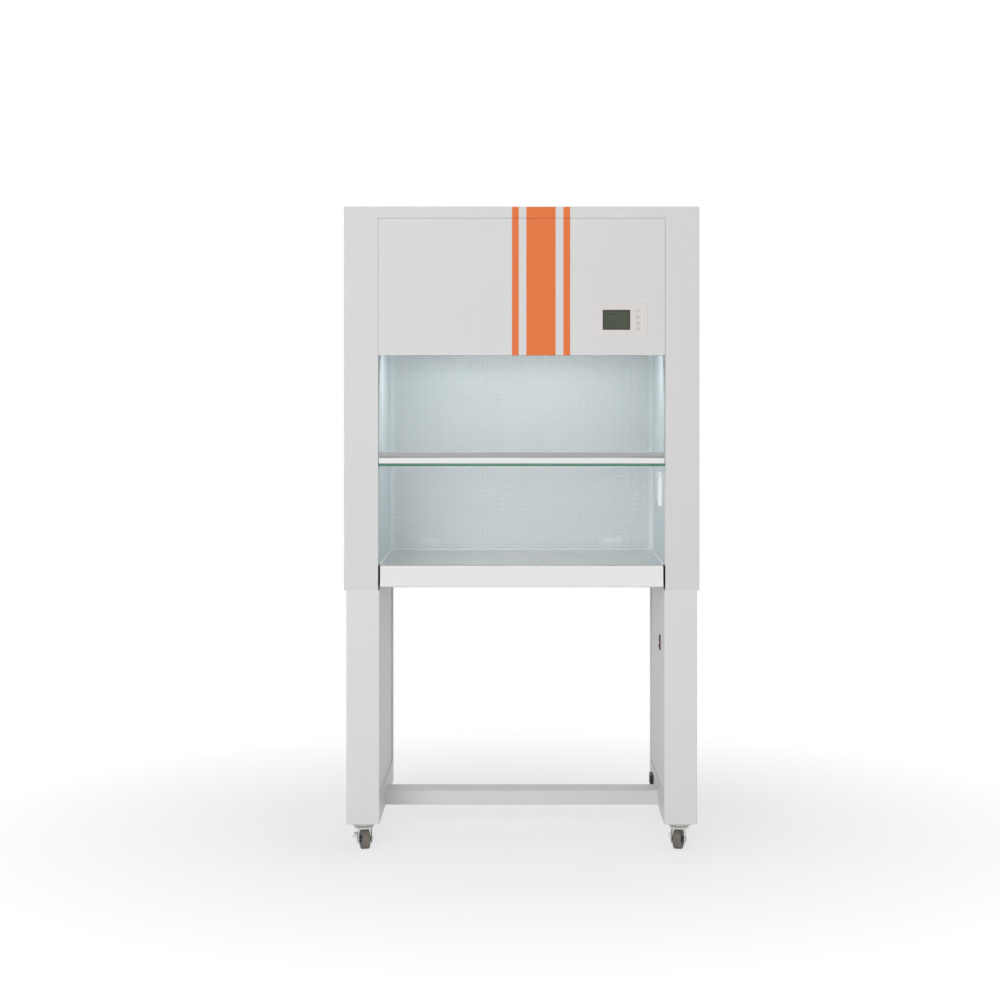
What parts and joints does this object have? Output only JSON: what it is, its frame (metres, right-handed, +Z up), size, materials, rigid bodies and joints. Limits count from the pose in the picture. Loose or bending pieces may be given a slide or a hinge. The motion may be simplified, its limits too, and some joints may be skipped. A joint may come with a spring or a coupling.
{
  "type": "laminar flow cabinet",
  "caption": "Horizontal laminar flow clean bench with a counterbalanced glass sash, stainless worktop, perforated diffuser wall and a castored stand with a footrest.",
  "frame": {"origin": "on the floor, midway between the sides and between the front and the back", "axes": "+Z up from the floor, +Y towards the back, +X to the right of a person at the front"},
  "size_m": [0.9, 0.7005, 1.633],
  "materials": {
    "body_paint": "pale grey powder coat",
    "stand_paint": "white powder coat",
    "liner_paint": "satin chamber liner",
    "worktop_steel": "fine brushed stainless",
    "diffuser_paint": "satin white perforated sheet",
    "safety_glass": "clear float glass with green edges",
    "handle_aluminium": "satin anodised",
    "zinc_plate": "bright zinc plate",
    "filter_frame": "mill finish",
    "filter_paper": "pleated glass-fibre paper",
    "gasket_foam": "closed-cell foam",
    "motor_paint": "dark grey enamel",
    "impeller_zinc": "galvanised",
    "intake_paint": "pale grey powder coat",
    "prefilter_wool": "white non-woven pad",
    "tube_glass": "opal tube",
    "quartz_glass": "clear quartz tube",
    "lamp_fitting": "white enamel",
    "wire_steel": "stranded steel",
    "weight_iron": "as cast",
    "pulley_nylon": "natural nylon",
    "controller_plastic": "warm white moulding",
    "screen_glass": "dark green liquid-crystal screen",
    "key_rubber": "soft pale grey",
    "socket_plastic": "white moulding",
    "switch_black": "black moulding",
    "rocker_red": "red moulding",
    "caster_zinc": "bright zinc plate",
    "wheel_rubber": "dark core with a grey-brown tread"
  },
  "bodies": {
    "cabinet": {"stand_side_left": "stand_paint", "stand_side_right": "stand_paint", "footrest_beam": "stand_paint", "stand_rear_rail": "stand_paint", "front_fascia": "body_paint", "head_front_panel": "body_paint", "side_panel_left": "body_paint", "side_panel_right": "body_paint", "top_panel": "body_paint", "back_panel": "body_paint", "floor_pan": "body_paint", "worktop": "worktop_steel", "side_liner_left": "liner_paint", "side_liner_right": "liner_paint", "ceiling_panel": "liner_paint", "diffuser_plate": "diffuser_paint", "filter_gasket": "gasket_foam", "hepa_filter_frame": "filter_frame", "hepa_filter_pleats": "filter_paper", "blower_shelf": "zinc_plate", "blower_housing": "zinc_plate", "blower_motor": "motor_paint", "intake_grille": "intake_paint", "prefilter_pad": "prefilter_wool", "work_lamp_tube": "tube_glass", "uv_lamp_tube": "quartz_glass", "lamp_battens": "lamp_fitting", "sash_guides": "handle_aluminium", "pulley_brackets": "zinc_plate", "sash_wires": "wire_steel", "controller_housing": "controller_plastic", "lcd_window": "screen_glass", "power_socket": "socket_plastic", "switch_housing": "switch_black", "mains_inlet": "switch_black", "caster_plates": "caster_zinc", "machine_screws": "caster_zinc"},
    "sash": {"sash_glass": "safety_glass", "sash_handle": "handle_aluminium", "sash_hangers": "zinc_plate"},
    "blower_impeller": {"blower_impeller": "impeller_zinc"},
    "switch_rocker": {"switch_rocker": "rocker_red"},
    "counterweight_left": {"counterweight_left": "weight_iron"},
    "pulley_left": {"pulley_left": "pulley_nylon"},
    "counterweight_right": {"counterweight_right": "weight_iron"},
    "pulley_right": {"pulley_right": "pulley_nylon"},
    "key_1": {"key_1": "key_rubber"},
    "key_2": {"key_2": "key_rubber"},
    "key_3": {"key_3": "key_rubber"},
    "key_4": {"key_4": "key_rubber"},
    "caster_fork_front_left": {"caster_fork_front_left": "caster_zinc"},
    "caster_wheel_front_left": {"caster_wheel_front_left": "wheel_rubber"},
    "caster_fork_front_right": {"caster_fork_front_right": "caster_zinc"},
    "caster_wheel_front_right": {"caster_wheel_front_right": "wheel_rubber"},
    "caster_fork_rear_left": {"caster_fork_rear_left": "caster_zinc"},
    "caster_wheel_rear_left": {"caster_wheel_rear_left": "wheel_rubber"},
    "caster_fork_rear_right": {"caster_fork_rear_right": "caster_zinc"},
    "caster_wheel_rear_right": {"caster_wheel_rear_right": "wheel_rubber"},
    "brake_pedal_front_left": {"brake_pedal_front_left": "caster_zinc"},
    "brake_pedal_front_right": {"brake_pedal_front_right": "caster_zinc"}
  },
  "joints": [
    {"name": "sash_slide", "type": "slide", "parent": "cabinet", "child": "sash", "axis": [0, 0, 1], "range_m": [-0.247, 0.085], "deforming": ["sash_wires"]},
    {"name": "counterweight_slide_left", "type": "slide", "parent": "cabinet", "child": "counterweight_left", "axis": [0, 0, 1], "range_m": [-0.085, 0.247]},
    {"name": "pulley_turn_left", "type": "hinge", "parent": "cabinet", "child": "pulley_left", "pos_m": [-0.41615, -0.3315, 1.59], "axis": [0, 1, 0], "range_deg": [-271.1, 786.7]},
    {"name": "counterweight_slide_right", "type": "slide", "parent": "cabinet", "child": "counterweight_right", "axis": [0, 0, 1], "range_m": [-0.085, 0.247]},
    {"name": "pulley_turn_right", "type": "hinge", "parent": "cabinet", "child": "pulley_right", "pos_m": [0.41615, -0.3315, 1.59], "axis": [0, 1, 0], "range_deg": [-786.7, 271.1]},
    {"name": "impeller_spin", "type": "hinge", "parent": "cabinet", "child": "blower_impeller", "pos_m": [0, 0.18, 1.4795], "axis": [1, 0, 0], "continuous": true},
    {"name": "rocker_tilt", "type": "hinge", "parent": "cabinet", "child": "switch_rocker", "pos_m": [0.367, -0.15, 0.505], "axis": [0, 1, 0], "range_deg": [-14, 0]},
    {"name": "key_1_press", "type": "slide", "parent": "cabinet", "child": "key_1", "axis": [0, 1, 0], "range_m": [0, 0.0008], "stiffness_N_per_m": 100},
    {"name": "key_2_press", "type": "slide", "parent": "cabinet", "child": "key_2", "axis": [0, 1, 0], "range_m": [0, 0.0008], "stiffness_N_per_m": 100},
    {"name": "key_3_press", "type": "slide", "parent": "cabinet", "child": "key_3", "axis": [0, 1, 0], "range_m": [0, 0.0008], "stiffness_N_per_m": 100},
    {"name": "key_4_press", "type": "slide", "parent": "cabinet", "child": "key_4", "axis": [0, 1, 0], "range_m": [0, 0.0008], "stiffness_N_per_m": 100},
    {"name": "caster_swivel_front_left", "type": "hinge", "parent": "cabinet", "child": "caster_fork_front_left", "pos_m": [-0.4025, -0.306, 0.057], "axis": [0, 0, 1], "continuous": true},
    {"name": "caster_roll_front_left", "type": "hinge", "parent": "caster_fork_front_left", "child": "caster_wheel_front_left", "pos_m": [-0.3996, -0.31764, 0.025], "axis": [0.9703, 0.2419, 0], "continuous": true},
    {"name": "brake_press_front_left", "type": "hinge", "parent": "caster_fork_front_left", "child": "brake_pedal_front_left", "pos_m": [-0.42385, -0.30926, 0.036], "axis": [0.2419, -0.9703, 0], "range_deg": [0, 12]},
    {"name": "caster_swivel_front_right", "type": "hinge", "parent": "cabinet", "child": "caster_fork_front_right", "pos_m": [0.4025, -0.306, 0.057], "axis": [0, 0, 1], "continuous": true},
    {"name": "caster_roll_front_right", "type": "hinge", "parent": "caster_fork_front_right", "child": "caster_wheel_front_right", "pos_m": [0.39919, -0.31754, 0.025], "axis": [0.9613, -0.2756, 0], "continuous": true},
    {"name": "brake_press_front_right", "type": "hinge", "parent": "caster_fork_front_right", "child": "brake_pedal_front_right", "pos_m": [0.38238, -0.29815, 0.036], "axis": [-0.2756, -0.9613, 0], "range_deg": [0, 12]},
    {"name": "caster_swivel_rear_left", "type": "hinge", "parent": "cabinet", "child": "caster_fork_rear_left", "pos_m": [-0.4025, 0.204, 0.057], "axis": [0, 0, 1], "continuous": true},
    {"name": "caster_roll_rear_left", "type": "hinge", "parent": "caster_fork_rear_left", "child": "caster_wheel_rear_left", "pos_m": [-0.40938, 0.19417, 0.025], "axis": [0.8192, -0.5736, 0], "continuous": true},
    {"name": "caster_swivel_rear_right", "type": "hinge", "parent": "cabinet", "child": "caster_fork_rear_right", "pos_m": [0.4025, 0.204, 0.057], "axis": [0, 0, 1], "continuous": true},
    {"name": "caster_roll_rear_right", "type": "hinge", "parent": "caster_fork_rear_right", "child": "caster_wheel_rear_right", "pos_m": [0.40813, 0.1934, 0.025], "axis": [0.8829, 0.4695, 0], "continuous": true}
  ],
  "couplings": [
    {"joint": "counterweight_slide_left", "follows": "sash_slide", "ratio": -1},
    {"joint": "pulley_turn_left", "follows": "sash_slide", "rad_per_m": -55.556},
    {"joint": "counterweight_slide_right", "follows": "sash_slide", "ratio": -1},
    {"joint": "pulley_turn_right", "follows": "sash_slide", "rad_per_m": 55.556}
  ]
}
